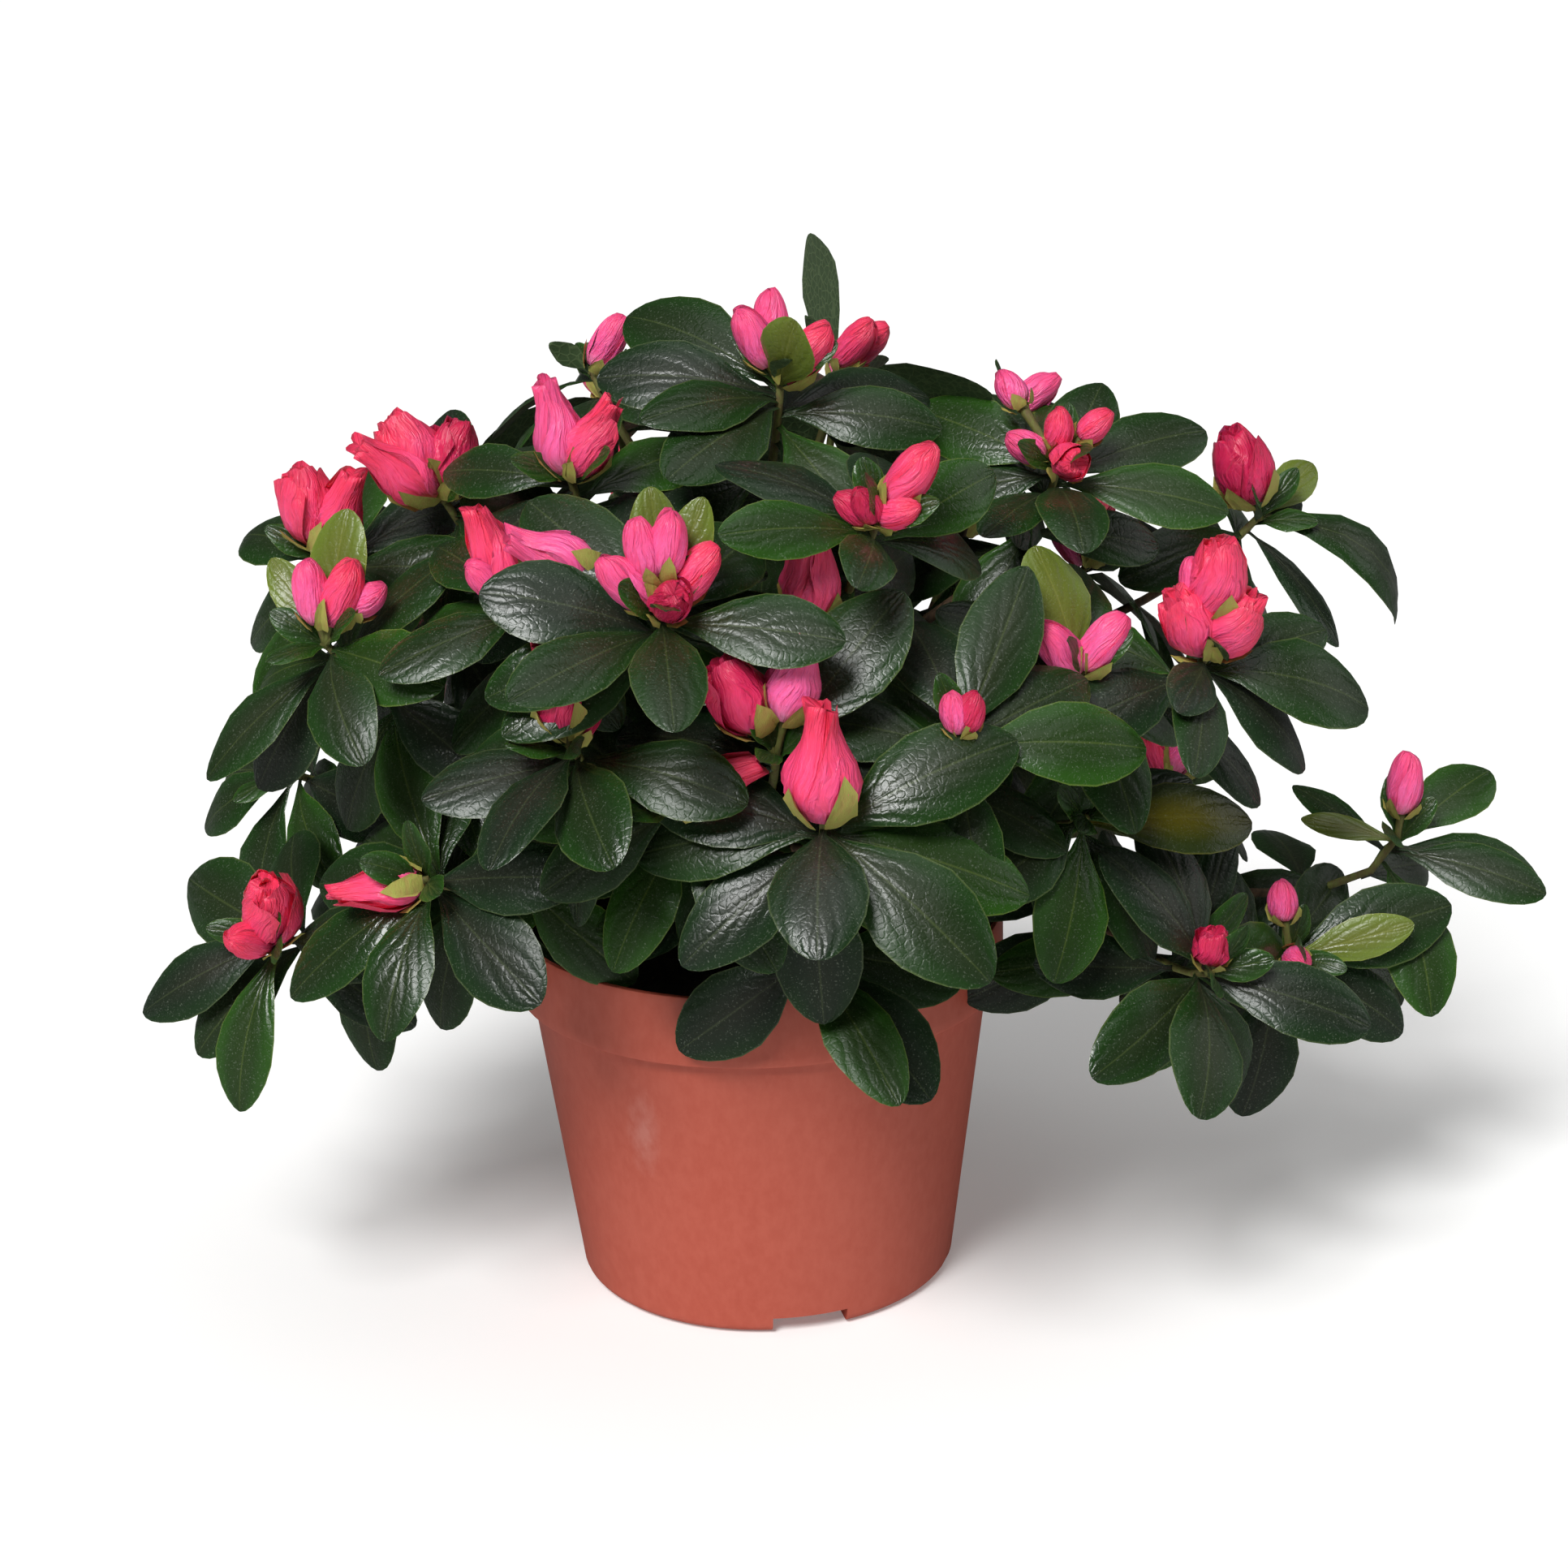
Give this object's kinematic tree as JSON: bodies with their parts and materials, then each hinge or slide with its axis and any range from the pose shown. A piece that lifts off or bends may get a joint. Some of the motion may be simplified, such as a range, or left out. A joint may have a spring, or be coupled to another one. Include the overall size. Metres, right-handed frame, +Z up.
{
  "type": "potted azalea shrub",
  "caption": "Compact evergreen azalea in bud in a round plastic nursery pot: short trunk, arching boughs and whorls of glossy leaves with coral-pink flower buds.",
  "frame": {"origin": "centre of the pot's flat underside, where it stands", "axes": "+Z up along the pot's axis, -Y towards the front of the plant, +X towards the side with the longest branch"},
  "size_m": [0.366, 0.2882, 0.2724],
  "materials": {
    "pot_plastic": "satin moulded terracotta-coloured plastic",
    "peat": "dull moist peat",
    "bark": "rough brown bark",
    "foliage": "glossy dark green leaves with coral-pink buds"
  },
  "bodies": {
    "root": {"pot": "pot_plastic", "soil": "peat", "trunk": "bark", "bough_top": "bark", "bough_upper_left": "bark", "bough_upper_right": "bark", "bough_left": "bark", "bough_centre_left": "bark", "bough_centre": "bark", "bough_right_rear": "bark", "bough_right": "bark", "bough_right_front": "bark", "bough_front": "bark", "bough_lower_left": "bark", "bough_lower_right": "bark", "bough_rear_1": "bark", "bough_rear_2": "bark", "bough_rear_3": "bark", "bough_rear_4": "bark", "bough_rear_5": "bark", "bough_rear_6": "bark", "foliage_top": "foliage", "foliage_upper_left": "foliage", "foliage_upper_right": "foliage", "foliage_left": "foliage", "foliage_centre_left": "foliage", "foliage_centre": "foliage", "foliage_right_rear": "foliage", "foliage_right": "foliage", "foliage_right_front": "foliage", "foliage_front": "foliage", "foliage_lower_left": "foliage", "foliage_lower_right": "foliage", "foliage_rear_1": "foliage", "foliage_rear_2": "foliage", "foliage_rear_3": "foliage", "foliage_rear_4": "foliage", "foliage_rear_5": "foliage", "foliage_rear_6": "foliage"}
  },
  "joints": []
}
